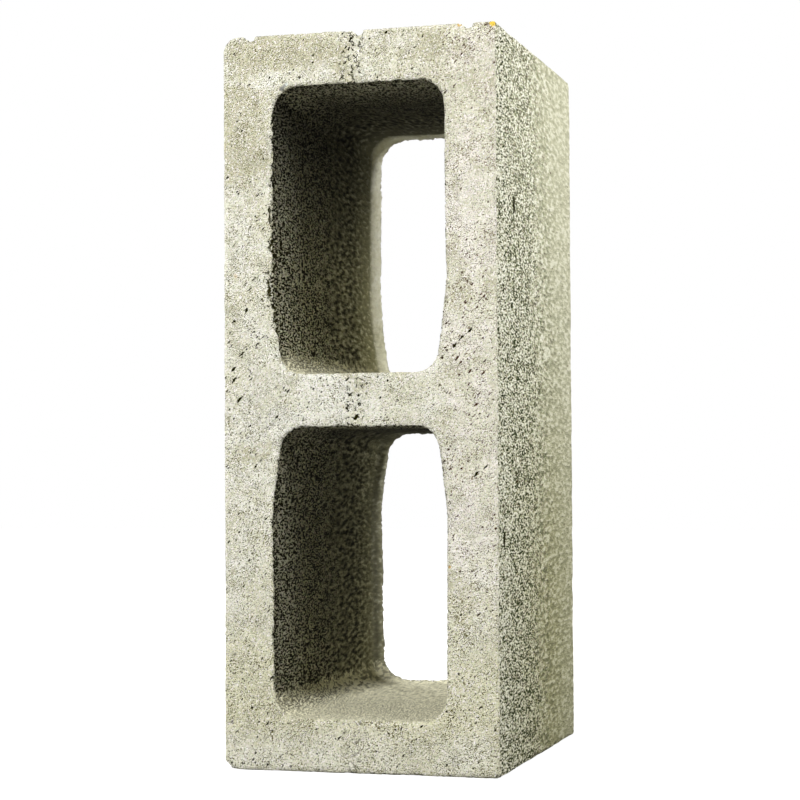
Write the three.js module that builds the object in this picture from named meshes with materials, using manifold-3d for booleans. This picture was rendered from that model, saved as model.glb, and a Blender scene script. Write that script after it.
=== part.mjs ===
// A hollow concrete block with two cores, standing on one of its ends.
//
// Lengths are in millimetres. X runs across the wall that the block is made for, Y runs along the
// cores and Z along the block. The block is moulded with -Y up, so the mould's cores are drawn out
// towards -Y and every core is widest there. The origin is the middle of the end that it stands on.

import * as THREE from "three";
import { LoftGeometry } from "three/addons/geometries/LoftGeometry.js";
import { RoundedBoxGeometry } from "three/addons/geometries/RoundedBoxGeometry.js";
import { mergeVertices } from "three/addons/utils/BufferGeometryUtils.js";
import Module from "manifold-3d";

const wasm = await Module();
wasm.setup();

// The whole block
const LENGTH = 390; // along Z, from end to end
const COURSE = 190; // along Y, the height of one course in a wall
const THICKNESS = 150; // along X, the thickness of the wall
const ARRIS = 1.2; // how far the outer edges are rounded

// Walls round the cores, each at its thinnest
const FACE_SHELL = 27.3;
const END_WEB = 28.2;
const CENTRE_WEB = 28.4;

// Outline of a core
const END_CORNER = 13.5; // radius of the two corners at the end web
const CENTRE_CORNER = 12.5; // radius of the two corners at the centre web
const LEAN_RUN = 45; // the sides lean in over this much of the core next to the centre web
const LEAN_IN = 5.7; // how far each side has leaned in when it meets the centre web
const LEAN_BLEND = 90; // radius of the bend where a side starts to lean
const END_TAPER = 0.9; // how far each side comes in from that bend to the end web

// How a core narrows on its way through the block
const DRAFT = 0.6; // what every wall gains up to the lip, so that the mould's core draws out
const LIP_DEPTH = 9; // the lip takes up the last part of the core, next to the pallet
const SHELL_LIP = 3.7; // how far the lip thickens each face shell
const END_LIP = 1.4; // how far it thickens each end web
const CENTRE_LIP = 0.5; // how far it thickens each side of the centre web
const LIP_ROUNDING = 2.5; // how much larger it makes the radius of every corner

// Shallow grooves across the upper end, which key the mortar of the joint beside it
const GROOVE_COUNT = 3;
const GROOVE_MARGIN = 15; // from a face shell's outside to the middle of the nearest groove
const GROOVE_WIDTH = 7;
const GROOVE_DEPTH = 3;

const OVERCUT = 2; // how far a cutting tool reaches past the faces that it opens
const ARC_STEPS = 4; // half the number of straight steps in a rounded corner
const ARRIS_STEPS = 2;

// A closed geometry as a solid that can be cut.
function solid(geometry) {
  const bare = new THREE.BufferGeometry();
  bare.setAttribute("position", geometry.getAttribute("position"));
  bare.setIndex(geometry.getIndex());
  const welded = mergeVertices(bare, 1e-4);
  return new wasm.Manifold(
    new wasm.Mesh({
      numProp: 3,
      vertProperties: welded.getAttribute("position").array,
      triVerts: new Uint32Array(welded.getIndex().array),
    }),
  );
}

// A solid as a geometry that can be drawn.
function geometryOf(body) {
  const mesh = body.getMesh();
  const geometry = new THREE.BufferGeometry();
  geometry.setAttribute("position", new THREE.BufferAttribute(mesh.vertProperties, mesh.numProp));
  geometry.setIndex(new THREE.BufferAttribute(mesh.triVerts, 1));
  return geometry;
}

// The points of a convex polygon, given anticlockwise, whose corners are arcs that touch both sides.
function roundedOutline(corners) {
  const path = new THREE.Path();
  corners.forEach(({ at, radius }, i) => {
    const toPrevious = corners.at(i - 1).at.clone().sub(at).normalize();
    const toNext = corners[(i + 1) % corners.length].at.clone().sub(at).normalize();
    const halfAngle = toPrevious.angleTo(toNext) / 2;
    const inward = toPrevious.clone().add(toNext).normalize();
    const centre = at.clone().addScaledVector(inward, radius / Math.sin(halfAngle));
    const tangentLength = radius / Math.tan(halfAngle);
    const start = at.clone().addScaledVector(toPrevious, tangentLength).sub(centre);
    const end = at.clone().addScaledVector(toNext, tangentLength).sub(centre);
    path.absarc(centre.x, centre.y, radius, start.angle(), end.angle());
  });
  return path.getPoints(ARC_STEPS);
}

// Section of the upper core, seen from -Y with the middle of the block as the origin. Its walls are
// thicker than at the wide mouth by the given amounts, and its corners rounder.
function coreOutline({ shell, end, centre, rounding }) {
  const half = THICKNESS / 2 - FACE_SHELL - shell;
  const top = LENGTH / 2 - END_WEB - end;
  const bottom = CENTRE_WEB / 2 + centre;
  const leanStart = CENTRE_WEB / 2 + LEAN_RUN;
  const bottomHalf = half - (LEAN_IN * (leanStart - bottom)) / LEAN_RUN;
  const topHalf = half - END_TAPER;
  const corner = (x, z, radius) => ({ at: new THREE.Vector2(x, z), radius });
  return roundedOutline([
    corner(-bottomHalf, bottom, CENTRE_CORNER + rounding),
    corner(bottomHalf, bottom, CENTRE_CORNER + rounding),
    corner(half, leanStart, LEAN_BLEND),
    corner(topHalf, top, END_CORNER + rounding),
    corner(-topHalf, top, END_CORNER + rounding),
    corner(-half, leanStart, LEAN_BLEND),
  ]);
}

// What leaves the upper core open: a mould core with its draft, and the lip at its small end. It is
// lofted from the rim at the pallet face to the mouth.
function mouldCore() {
  const mouth = coreOutline({ shell: 0, end: 0, centre: 0, rounding: 0 });
  const neck = coreOutline({ shell: DRAFT, end: DRAFT, centre: DRAFT, rounding: 0 });
  const rim = coreOutline({
    shell: DRAFT + SHELL_LIP,
    end: DRAFT + END_LIP,
    centre: DRAFT + CENTRE_LIP,
    rounding: LIP_ROUNDING,
  });
  const face = COURSE / 2;
  const section = (y, outline) => outline.map((p) => new THREE.Vector3(p.x, y, p.y));
  return new LoftGeometry(
    [
      section(face + OVERCUT, rim),
      section(face, rim),
      section(face - LIP_DEPTH, neck),
      section(-face, mouth),
      section(-face - OVERCUT, mouth),
    ],
    { capStart: true, capEnd: true },
  );
}

// What cuts one groove across the upper end: a round-bottomed V along Y.
function grooveCutter(x) {
  const profile = new THREE.Shape();
  const halfWidth = GROOVE_WIDTH / 2;
  profile.moveTo(-halfWidth, 0);
  profile.quadraticCurveTo(0, -2 * GROOVE_DEPTH, halfWidth, 0);
  profile.lineTo(halfWidth, OVERCUT);
  profile.lineTo(-halfWidth, OVERCUT);
  const cutter = new THREE.ExtrudeGeometry(profile, {
    depth: COURSE + 2 * OVERCUT,
    curveSegments: 2 * ARC_STEPS,
    bevelEnabled: false,
  });
  cutter.rotateX(Math.PI / 2);
  return cutter.translate(x, COURSE / 2 + OVERCUT, LENGTH / 2);
}

function blockGeometry() {
  const upperCore = mouldCore();
  const lowerCore = mouldCore().rotateY(Math.PI);
  const body = new RoundedBoxGeometry(THICKNESS, COURSE, LENGTH, ARRIS_STEPS, ARRIS);
  let block = solid(body).subtract(solid(upperCore)).subtract(solid(lowerCore));
  const outermost = THICKNESS / 2 - GROOVE_MARGIN;
  for (let i = 0; i < GROOVE_COUNT; i++) {
    const x = THREE.MathUtils.lerp(-outermost, outermost, i / (GROOVE_COUNT - 1));
    block = block.subtract(solid(grooveCutter(x)));
  }
  return geometryOf(block);
}

const concrete = new THREE.MeshStandardMaterial({
  name: "concrete",
  color: 0xc9c6b4,
  roughness: 0.95,
  metalness: 0,
});

const block = new THREE.Mesh(blockGeometry(), concrete);
block.name = "concrete_block";
block.position.z = LENGTH / 2;

const part = new THREE.Group();
part.add(block);

export default part;
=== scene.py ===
# %% [markdown]
# # A hollow concrete block
#
# The real block is pressed from a stiff, barely damp mix of cement, sand and fine stone, and pushed
# out of its steel mould within seconds. So its shape is true to size, but its skin is open and sandy,
# its edges crumble, and it has small tears where the mould dragged on it.
#
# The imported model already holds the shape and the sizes. It is loaded first and stays as it is, and
# this lesson adds only what the mould and the years left on its surface.

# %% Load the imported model
import math

import bpy
from mathutils import Matrix, Vector


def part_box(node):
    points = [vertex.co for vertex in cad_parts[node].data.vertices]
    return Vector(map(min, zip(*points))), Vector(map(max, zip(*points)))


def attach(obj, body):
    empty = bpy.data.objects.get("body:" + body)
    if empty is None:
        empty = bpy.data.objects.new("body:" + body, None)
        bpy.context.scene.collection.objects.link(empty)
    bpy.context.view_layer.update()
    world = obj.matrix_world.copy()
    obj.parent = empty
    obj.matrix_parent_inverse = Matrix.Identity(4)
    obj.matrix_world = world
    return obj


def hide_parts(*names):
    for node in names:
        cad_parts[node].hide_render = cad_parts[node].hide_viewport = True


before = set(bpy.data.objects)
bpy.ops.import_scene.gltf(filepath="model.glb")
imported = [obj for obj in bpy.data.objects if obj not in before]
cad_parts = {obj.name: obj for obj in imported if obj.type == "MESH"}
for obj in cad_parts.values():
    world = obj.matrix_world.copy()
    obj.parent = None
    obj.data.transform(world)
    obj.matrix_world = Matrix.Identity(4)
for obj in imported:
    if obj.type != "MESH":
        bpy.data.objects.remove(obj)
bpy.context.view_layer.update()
MM = 0.001  # Blender's unit here is the metre, and a block is best described in millimetres

block_low, block_high = (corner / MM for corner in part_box("concrete_block"))
half_length = block_high.z / 2
print("block, mm:", [round(side, 1) for side in block_high - block_low])

# %% [markdown]
# ## Camera
#
# A long lens from about 1.2 m keeps the block's upright edges nearly parallel. The camera stands low,
# below the middle of the block, and looks up a little, so the undersides inside the cores show.
# It could be aimed with a Track To constraint, but three plain rotations say exactly how it stands.

# %% Camera
LENS_MM = 96.43
SENSOR_MM = 36.0
CAMERA_AT = Vector((0.3326, -1.1659, 0.1601))
TURNED_LEFT = math.radians(16.135)
TILTED_UP = math.radians(1.771)
ROLLED = math.radians(-0.295)

lens = bpy.data.cameras.new("camera")
lens.lens = LENS_MM
lens.sensor_width = SENSOR_MM
camera = bpy.data.objects.new("camera", lens)
bpy.context.collection.objects.link(camera)
camera.matrix_world = (
    Matrix.Translation(CAMERA_AT)
    @ Matrix.Rotation(TURNED_LEFT, 4, "Z")
    @ Matrix.Rotation(math.radians(90) + TILTED_UP, 4, "X")
    @ Matrix.Rotation(ROLLED, 4, "Z")
)
bpy.context.scene.camera = camera
bpy.context.scene.view_settings.view_transform = "Standard"
print("camera stands", round(CAMERA_AT.length, 2), "m from the foot of the block")

# %% [markdown]
# ## A helper for node trees
#
# Both the relief of the surface (Geometry Nodes) and its colour (shader nodes) are made of the same
# noise patterns. Nodes are usually joined by hand in the editor. In a script, a small helper that adds
# a node and joins it in one call keeps each pattern down to a line or two.

# %% Node helper
class Graph:
    """Fills one node tree. An input is a number, a vector, a colour or another node's output."""

    def __init__(self, tree):
        self.tree = tree
        tree.nodes.clear()

    def add(self, kind, inputs, **settings):
        node = self.tree.nodes.new(kind)
        for name, value in settings.items():
            setattr(node, name, value)
        for socket, value in inputs.items():
            if isinstance(value, bpy.types.NodeSocket):
                self.tree.links.new(value, node.inputs[socket])
            else:
                node.inputs[socket].default_value = value
        return node

    def tell(self, stage):
        """Says how large the tree has grown."""
        print(f"{stage}: {len(self.tree.nodes)} nodes so far")

    def math(self, operation, *values):
        return self.add("ShaderNodeMath", dict(enumerate(values)), operation=operation).outputs[0]

    def times(self, first, *others):
        """The product of all its inputs."""
        for other in others:
            first = self.math("MULTIPLY", first, other)
        return first

    def plus(self, first, *others):
        """The sum of all its inputs."""
        for other in others:
            first = self.math("ADD", first, other)
        return first

    def minus(self, first, second):
        return self.math("SUBTRACT", first, second)

    def rest(self, share):
        """What a share leaves of 1."""
        return self.minus(1.0, share)

    def away(self, value, middle):
        """How far a value lies from a middle one, either way."""
        return self.math("ABSOLUTE", self.plus(value, -middle))

    def rise(self, value, start, end, low=0.0, high=1.0):
        """Goes smoothly from low to high as value goes from start to end, which may be lower."""
        sockets = {"Value": value, "From Min": start, "From Max": end, "To Min": low, "To Max": high}
        node = self.add("ShaderNodeMapRange", sockets, interpolation_type="SMOOTHSTEP")
        return node.outputs["Result"]

    def vector(self, operation, *values):
        node = self.add("ShaderNodeVectorMath", dict(enumerate(values)), operation=operation)
        return node.outputs["Value" if operation in ("DOT_PRODUCT", "LENGTH") else "Vector"]

    def scaled(self, vector, factor):
        node = self.add("ShaderNodeVectorMath", {0: vector, "Scale": factor}, operation="SCALE")
        return node.outputs["Vector"]

    def axes(self, vector):
        """The x, y and z of a vector, each as an output."""
        return self.add("ShaderNodeSeparateXYZ", {0: vector}).outputs

    def between(self, factor, first, second):
        """A mix of two numbers."""
        return self.add("ShaderNodeMix", {0: factor, 2: first, 3: second}, data_type="FLOAT").outputs[0]

    def vector_between(self, factor, first, second):
        """A mix of two vectors."""
        node = self.add("ShaderNodeMix", {0: factor, 4: first, 5: second}, data_type="VECTOR")
        return node.outputs[1]

    def blend(self, factor, first, second):
        """A mix of two colours."""
        node = self.add("ShaderNodeMix", {0: factor, 6: first, 7: second}, data_type="RGBA")
        return node.outputs[2]


# %% [markdown]
# ## Noise patterns
#
# Every mark on concrete falls at random, but it has a size: a grain is half a millimetre across, a
# crumb four, a pale patch forty. So each pattern here takes the size of its lumps in millimetres, which
# can be checked with a ruler. Two patterns of one size would fall on the same spots. A seed moves each
# to a stretch of the noise of its own.

# %% Clouds, cells and joints
SEED_STEP = (7.3, 3.1, 5.7)  # how far a pattern moves for each step of its seed, in lumps
NOISE_SWING = 0.25  # how far noise usually strays from its middle of 0.5


def spot(g, place, size, seed):
    """The place to read a pattern whose lumps are size mm across."""
    shrunk = g.vector("DIVIDE", place, (size, size, size))
    return g.vector("ADD", shrunk, [seed * step for step in SEED_STEP])


def cloud(g, place, size, seed, detail=0.0):
    """Soft lumps, from 0 to 1 with a middle of 0.5."""
    sockets = {"Vector": spot(g, place, size, seed), "Scale": 1.0, "Detail": detail}
    return g.add("ShaderNodeTexNoise", sockets).outputs["Fac"]


def swing(g, place, size, seed, reach, detail=0.0):
    """Soft lumps from -reach to reach."""
    return g.times(g.minus(cloud(g, place, size, seed, detail), 0.5), 2 * reach)


def cells(g, place, size, seed):
    """Scattered points: the distance to the nearest one in cells, and a random colour for each."""
    sockets = {"Vector": spot(g, place, size, seed), "Scale": 1.0}
    node = g.add("ShaderNodeTexVoronoi", sockets, feature="F1")
    return node.outputs["Distance"], node.outputs["Color"]


def joints(g, place, size, seed):
    """How far a point lies from the border between two cells, in cells."""
    sockets = {"Vector": spot(g, place, size, seed), "Scale": 1.0}
    return g.add("ShaderNodeTexVoronoi", sockets, feature="DISTANCE_TO_EDGE").outputs["Distance"]


def shaken(g, place, reach, size, seed):
    """The place moved at random by up to about reach mm, so that a pattern read there is ragged."""
    sockets = {"Vector": spot(g, place, size, seed), "Scale": 1.0, "Detail": 1.0}
    colour = g.add("ShaderNodeTexNoise", sockets).outputs["Color"]
    shift = g.vector("SUBTRACT", colour, (0.5, 0.5, 0.5))
    return g.vector("ADD", place, g.scaled(shift, reach / NOISE_SWING))


# %% Ovals and slanted places
def oval(g, place, middle, half_sizes):
    """How far out a point lies in an oval: 0 in its middle and 1 on its edge."""
    off = g.vector("SUBTRACT", place, middle)
    return g.vector("LENGTH", g.vector("DIVIDE", off, half_sizes))


def slanted(g, place, stretch):
    """The place with the front turned, so that a pattern drawn out by stretch rises to the right."""
    half = math.sqrt(0.5)
    rising = g.vector("DOT_PRODUCT", place, (half, 0, half))
    falling = g.vector("DOT_PRODUCT", place, (half, 0, -half))
    inward = g.axes(place)[1]
    shrunk = g.math("DIVIDE", rising, stretch)
    return g.add("ShaderNodeCombineXYZ", {0: shrunk, 1: falling, 2: inward}).outputs[0]


# %% [markdown]
# ## Marks that the relief and the colour share
#
# Pits and the crumbly seam are seen twice: as hollows in the outline and as painted shade in the colour.
# Both have to fall on the same places, so each mark is a function that either tree can call. Cracks are
# made in the same way, though only the colour has them.
#
# The seam runs up the middle of the front. The steel bar that holds the mould's cores crosses all three
# webs there, and less of the mix falls in under it.

# %% Pits and cracks
PIT_WALL = 0.65  # where the wall of a pit has reached its bottom, as a share of its radius
CRACK_WALL = 0.4  # and the same for a crack


def pits(g, place, size, largest, seed, share=1.0, raggedness=0.1):
    """Holes, most of them small: 1 in the middle of each and 0 outside. share thins them out."""
    distance, chance = cells(g, shaken(g, place, raggedness * size, 0.3 * size, seed), size, seed)
    luck = g.axes(chance)
    radius = g.times(g.math("POWER", luck[0], 2.0), largest / size)
    open_pit = g.math("LESS_THAN", luck[1], share)
    return g.times(g.rise(distance, radius, g.times(radius, PIT_WALL)), open_pit)


def cracks(g, place, size, width, seed, share):
    """Thin ragged cracks round crumbs of that size. share is how much of them there is, from 0 to 1."""
    between = joints(g, shaken(g, place, 0.2 * size, 0.45 * size, seed), size, seed)
    there = g.math("LESS_THAN", cloud(g, place, 0.55 * size, seed + 1), share)
    return g.times(g.rise(between, width, CRACK_WALL * width), there)


# %% The crumbly seam
SEAM_X = -3.0
SEAM_HALF_WIDTH = 9.0
SEAM_WANDER = 6.0
FIRMER_BELOW, FIRMEST_BELOW = 60.0, 20.0  # heights at which the seam firms up towards the foot
LOOSER_ABOVE, LOOSEST_ABOVE = 300.0, 360.0  # and falls apart towards the top
WANDER_SIZE = 14.0
CRUMB = 3.6
CRUMB_SHAKE, CRUMB_SHAKE_SIZE = 0.7, 1.6
CREVICE_EDGE, CREVICE_MIDDLE = 0.11, 0.055  # in crumbs
LOOSE_SIZE = 2.6
LOOSE_AT = (0.56, 0.61)  # crumbs come loose where the noise passes these levels,
LOOSER_HIGH = 0.11  # which the top lifts it to more easily


def seam(g, place, front):
    """The crumbly strip up the middle of the front: where it is, and its crevices between crumbs."""
    x, _, z = g.axes(place)
    flat = g.add("ShaderNodeCombineXYZ", {0: x, 2: z}).outputs[0]
    wander = swing(g, flat, WANDER_SIZE, 3, SEAM_WANDER, detail=2.0)
    off_centre = g.math("ABSOLUTE", g.plus(x, -SEAM_X, wander))
    strip = g.times(g.rise(off_centre, SEAM_HALF_WIDTH, 0.4 * SEAM_HALF_WIDTH), front)
    strip = g.times(strip, g.rise(z, FIRMER_BELOW, FIRMEST_BELOW, 1.0, 0.5))
    between = joints(g, shaken(g, flat, CRUMB_SHAKE, CRUMB_SHAKE_SIZE, 5), CRUMB, 5)
    looser_high = g.rise(z, LOOSER_ABOVE, LOOSEST_ABOVE, 0.0, LOOSER_HIGH)
    loose = g.rise(g.plus(cloud(g, flat, LOOSE_SIZE, 9), looser_high), *LOOSE_AT)
    crevice = g.times(g.rise(between, CREVICE_EDGE, CREVICE_MIDDLE), strip, loose)
    return strip, crevice


print("shared marks: pits, cracks and the seam, which is", 2 * SEAM_HALF_WIDTH, "mm wide")

# %% [markdown]
# ## Studio
#
# The block stands on a pale floor in front of nothing but white. The front lamp hangs high and a little
# to the left, so it lights the face with the core mouths and the floors of the cores, and leaves their
# left walls in shade. A lamp on the right and slightly behind rakes over the side and just reaches in at
# the far rims, and a wide soft one on the right fills in what it leaves. Two more light the back and the
# left side, so the block looks right from all round.
#
# The floor glows only where it is seen directly. It looks white that way, still keeps the block's
# shadow, and throws no more light on the block than plain grey paint would.

# %% Lamps
def softbox(name, at, aim, size, level):
    """A square lamp. A white card that faces it at aim renders at this level."""
    lamp = bpy.data.lights.new(name, "AREA")
    lamp.size = size
    reach = Vector(aim) - Vector(at)
    lamp.energy = level * (math.pi * reach.length) ** 2
    holder = bpy.data.objects.new(name, lamp)
    bpy.context.collection.objects.link(holder)
    holder.location = at
    holder.rotation_euler = reach.to_track_quat("-Z", "Y").to_euler()
    print(name, "gives", round(lamp.energy, 1), "W")


softbox("front_lamp", at=(-0.14, -1.67, 1.30), aim=(0, -0.095, 0.28), size=0.12, level=1.29)
softbox("right_lamp", at=(0.60, 0.15, 0.55), aim=(0.075, 0.0, 0.28), size=0.08, level=0.72)
softbox("right_fill", at=(1.00, -0.35, 0.75), aim=(0.075, 0.0, 0.20), size=0.5, level=0.4)
softbox("back_lamp", at=(-1.0, 1.2, 0.6), aim=(0, 0.095, 0.2), size=0.3, level=0.42)
softbox("left_lamp", at=(-1.3, 0.0, 0.6), aim=(-0.075, 0.0, 0.2), size=0.3, level=0.8)

# %% White background
WHITE = (1, 1, 1, 1)
WORLD_FILL = 0.012  # the little light that comes from all round


def seen_directly(g):
    """1 for rays from the camera or by way of a shiny or clear surface, and 0 for the rest."""
    rays = g.add("ShaderNodeLightPath", {}).outputs
    shiny_or_clear = g.math("MAXIMUM", rays["Is Glossy Ray"], rays["Is Transmission Ray"])
    return g.math("MAXIMUM", rays["Is Camera Ray"], shiny_or_clear)


white = bpy.data.worlds.new("white")
white.use_nodes = True
bpy.context.scene.world = white
g = Graph(white.node_tree)
brightness = g.rise(seen_directly(g), 0.0, 1.0, WORLD_FILL, 1.0)
background = g.add("ShaderNodeBackground", {"Color": WHITE, "Strength": brightness})
g.add("ShaderNodeOutputWorld", {"Surface": background.outputs[0]})
g.tell("background")

# %% Floor paint
FLOOR_GLOW, FAR_GLOW = 0.82, 1.0
SHADOW_REACH = (0.25, 0.9)  # over these distances the glow grows from one to the other
FLOOR_SEEN = (0.4, 0.4, 0.4, 1)
FLOOR_UNSEEN = (0.22, 0.22, 0.21, 1)  # what the block sees of it, so the undersides stay dark


def new_material(name):
    """An empty material, and the graph that fills it."""
    material = bpy.data.materials.new(name)
    material.use_nodes = True
    return material, Graph(material.node_tree)


floor_paint, g = new_material("pale_floor")
from_block = g.vector("LENGTH", g.add("ShaderNodeTexCoord", {}).outputs["Object"])
glow_level = g.rise(from_block, *SHADOW_REACH, FLOOR_GLOW, FAR_GLOW)
glow = g.add("ShaderNodeEmission", {"Color": WHITE, "Strength": glow_level}).outputs[0]
lit = g.add("ShaderNodeBsdfDiffuse", {"Color": FLOOR_SEEN}).outputs[0]
seen = g.add("ShaderNodeAddShader", {0: glow, 1: lit}).outputs[0]
unseen = g.add("ShaderNodeBsdfDiffuse", {"Color": FLOOR_UNSEEN}).outputs[0]
either = g.add("ShaderNodeMixShader", {0: seen_directly(g), 1: unseen, 2: seen}).outputs[0]
g.add("ShaderNodeOutputMaterial", {"Surface": either})
g.tell("floor paint")

# %% Floor
FLOOR_REACH = 4.0

floor_mesh = bpy.data.meshes.new("floor")
near_and_far = (-FLOOR_REACH, FLOOR_REACH)
corners = [(x, y, 0) for x in near_and_far for y in near_and_far]
floor_mesh.from_pydata(corners, [], [(0, 2, 3, 1)])
floor_mesh.materials.append(floor_paint)
floor = bpy.data.objects.new("floor", floor_mesh)
bpy.context.collection.objects.link(floor)
print("floor:", 2 * FLOOR_REACH, "m square")

# %% [markdown]
# ## A surface that can be worn
#
# The model has few, large faces, and wear needs many small ones. Subdivision would keep the long thin
# triangles of the model. A voxel remesh makes faces of one even size everywhere, inside the cores too,
# and keeps the body closed. It works on a copy, and the copy stands for the block from here on.

# %% Copy the block and remesh it
VOXEL = 0.7


def keep_result(piece):
    """Makes what a piece's modifiers give its own mesh."""
    shown = piece.evaluated_get(bpy.context.evaluated_depsgraph_get())
    old = piece.data
    piece.data = bpy.data.meshes.new_from_object(shown)
    piece.modifiers.clear()
    bpy.data.meshes.remove(old)


block = bpy.data.objects.new("weathered_block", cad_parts["concrete_block"].data.copy())
bpy.context.collection.objects.link(block)
remesh = block.modifiers.new("even_faces", "REMESH")
remesh.mode = "VOXEL"
remesh.voxel_size = VOXEL * MM
keep_result(block)
print("even faces:", len(block.data.polygons))

# %% [markdown]
# ## Relief
#
# Everything that changes the outline is real geometry: worn arrises, chips, crumbs that fell out, the
# larger pits. Nearly all of it goes inwards, as wear does, and only the rims next to the back wave both
# ways. Sculpt brushes could do this, but Geometry Nodes do it the same way on every run, and from the
# same patterns that later colour the surface. Grain finer than the mesh can hold is left to the material.

# %% Start the relief
relief = bpy.data.node_groups.new("relief", "GeometryNodeTree")
relief.interface.new_socket("Geometry", in_out="INPUT", socket_type="NodeSocketGeometry")
relief.interface.new_socket("Geometry", in_out="OUTPUT", socket_type="NodeSocketGeometry")
g = Graph(relief)
mesh_in = g.add("NodeGroupInput", {}).outputs[0]
position = g.add("GeometryNodeInputPosition", {}).outputs[0]
normal = g.add("GeometryNodeInputNormal", {}).outputs["Normal"]
place = g.scaled(position, 1 / MM)
x, y, z = g.axes(place)
facing_back = g.axes(normal)[1]
front = g.rise(facing_back, -0.6, -0.85)  # 1 on the front, and 0 on what faces any other way
runs_back = g.rise(g.math("ABSOLUTE", facing_back), 0.5, 0.3)  # a side, an end or a core's wall
g.tell("relief, started")

# %% [markdown]
# An arris is found by blurring the positions over the mesh: on a flat face a blurred point stays where
# it is, and on a sharp edge it sinks into the body. How far it sinks says how sharp the edge is, and
# moving part of the way there rounds it. The share of the way changes along the edge, so some
# stretches stay crisp and others are worn.

# %% Wear the arrises
BLUR_STEPS = 4
WORN_STRETCH = 5.0  # length of a worn stretch
WORN_AT = (0.42, 0.66)
WORN_LEAST, WORN_MOST = 0.0, 0.4
FLAT_SINKS, ARRIS_SINKS = 0.08, 0.3  # how far a blurred point sinks on a face and on an arris

blurred = g.add(
    "GeometryNodeBlurAttribute", {"Value": place, "Iterations": BLUR_STEPS}, data_type="FLOAT_VECTOR"
).outputs["Value"]
sunk = g.vector("SUBTRACT", place, blurred)
sharpness = g.vector("DOT_PRODUCT", sunk, normal)
on_arris = g.rise(sharpness, FLAT_SINKS, ARRIS_SINKS)
worn_share = g.rise(cloud(g, place, WORN_STRETCH, 1, detail=2.0), *WORN_AT, WORN_LEAST, WORN_MOST)
worn = g.vector("SUBTRACT", place, g.scaled(sunk, worn_share))
g.tell("relief, with worn arrises")

# %% Bite crumbs out of the arrises
BITE_SIZE, BITE_DEPTH = 1.5, 1.5
BITTEN_AT = (0.57, 0.64)
GOUGE_SIZE, GOUGE_DEPTH = 2.6, 2.4
GOUGED_AT = (0.50, 0.58)
RAGGED_X, RAGGED_Z = -48.0, 258.0  # middle of the most ragged stretch of a core's rim
RAGGED_WIDTH = (5.0, 2.0)  # it fades in over these distances from that middle, sideways
RAGGED_HEIGHT = (52.0, 36.0)  # and over these up and down

bites = g.rise(cloud(g, place, BITE_SIZE, 11, detail=1.0), *BITTEN_AT, 0.0, BITE_DEPTH)
beside = g.rise(g.away(x, RAGGED_X), *RAGGED_WIDTH)
level_with = g.rise(g.away(z, RAGGED_Z), *RAGGED_HEIGHT)
gouges = g.rise(cloud(g, place, GOUGE_SIZE, 12, detail=1.0), *GOUGED_AT, 0.0, GOUGE_DEPTH)
gouges = g.times(gouges, beside, level_with)
arris_depth = g.times(g.math("MAXIMUM", bites, gouges), on_arris)
g.tell("relief, with bites")

# %% [markdown]
# The flat faces are a little uneven, because the mix is pressed unevenly. The walls of the cores and
# the outer sides slide along the steel when the block is pushed out. It tears them open, most of all
# next to the front, where the mix is pressed least.

# %% Uneven faces and large pits
WIDE_DIP, WIDE_DIP_DEPTH = 16.0, 0.25
WIDE_DIP_AT = (0.45, 0.75)
CLOSE_DIP, CLOSE_DIP_DEPTH = 3.0, 0.2
CLOSE_DIP_AT = (0.48, 0.74)
PIT_SPACING, LARGEST_PIT, PIT_DEPTH = 7.0, 1.2, 0.9

uneven = g.plus(
    g.rise(cloud(g, place, WIDE_DIP, 2), *WIDE_DIP_AT, 0.0, WIDE_DIP_DEPTH),
    g.rise(cloud(g, place, CLOSE_DIP, 4, detail=1.0), *CLOSE_DIP_AT, 0.0, CLOSE_DIP_DEPTH),
)
large_pits = g.times(pits(g, place, PIT_SPACING, LARGEST_PIT, 6), PIT_DEPTH)
g.tell("relief, with uneven faces and pits")

# %% Walls torn by the steel
ALONG_STEEL = (1.0, 2.5, 1.0)  # what slides along the steel is drawn out this much
TORN_SIZE, TORN_DEPTH = 2.2, 0.75
TORN_AT = (0.50, 0.66)
TORN_FROM, TORN_TO = -40.0, -85.0  # the tearing sets in from the first to the second, towards the front

drawn_out = g.vector("DIVIDE", place, ALONG_STEEL)
torn = g.rise(cloud(g, drawn_out, TORN_SIZE, 15, detail=1.0), *TORN_AT, 0.0, TORN_DEPTH)
torn = g.times(torn, runs_back, g.rise(y, TORN_FROM, TORN_TO))
g.tell("relief, with torn walls")

# %% Crumbly seam on the front of the webs
CREVICE_DEPTH = 0.5
LOST_SIZE, LOST_DEPTH = 4.0, 0.5
LOST_AT = (0.52, 0.6)

strip, crevice = seam(g, place, front)
lost = g.times(g.rise(cloud(g, place, LOST_SIZE, 13), *LOST_AT), strip, LOST_DEPTH)
seam_depth = g.plus(g.times(crevice, CREVICE_DEPTH), lost)
g.tell("relief, with the seam")

# %% [markdown]
# At the back each core ends in a thin lip, which comes off the pallet uneven: its rim waves in and out
# by a millimetre or two. The block's two ends do the same next to the back. Where they would rise past
# the mould, a later step brings them back into it.

# %% Rims of the cores at the back
RIM_WAVE_SIZE, RIM_WAVE = 5.0, 1.7
RIM_START = 80.0
CORE_REACH = 50.0  # no core reaches further out than this, and the block's sides keep still

off_the_sides = g.math("LESS_THAN", g.math("ABSOLUTE", x), CORE_REACH)
near_back = g.rise(y, RIM_START, block_high.y)
rim_wave = swing(g, place, RIM_WAVE_SIZE, 8, RIM_WAVE, detail=1.0)
rim_depth = g.times(rim_wave, near_back, off_the_sides, runs_back)
g.tell("relief, with wavy rims")

# %% Push the surface in
depth = g.plus(arris_depth, uneven, large_pits, torn, seam_depth, rim_depth)
pushed = g.vector("SUBTRACT", worn, g.scaled(normal, depth))
g.tell("relief, pushed in")

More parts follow.
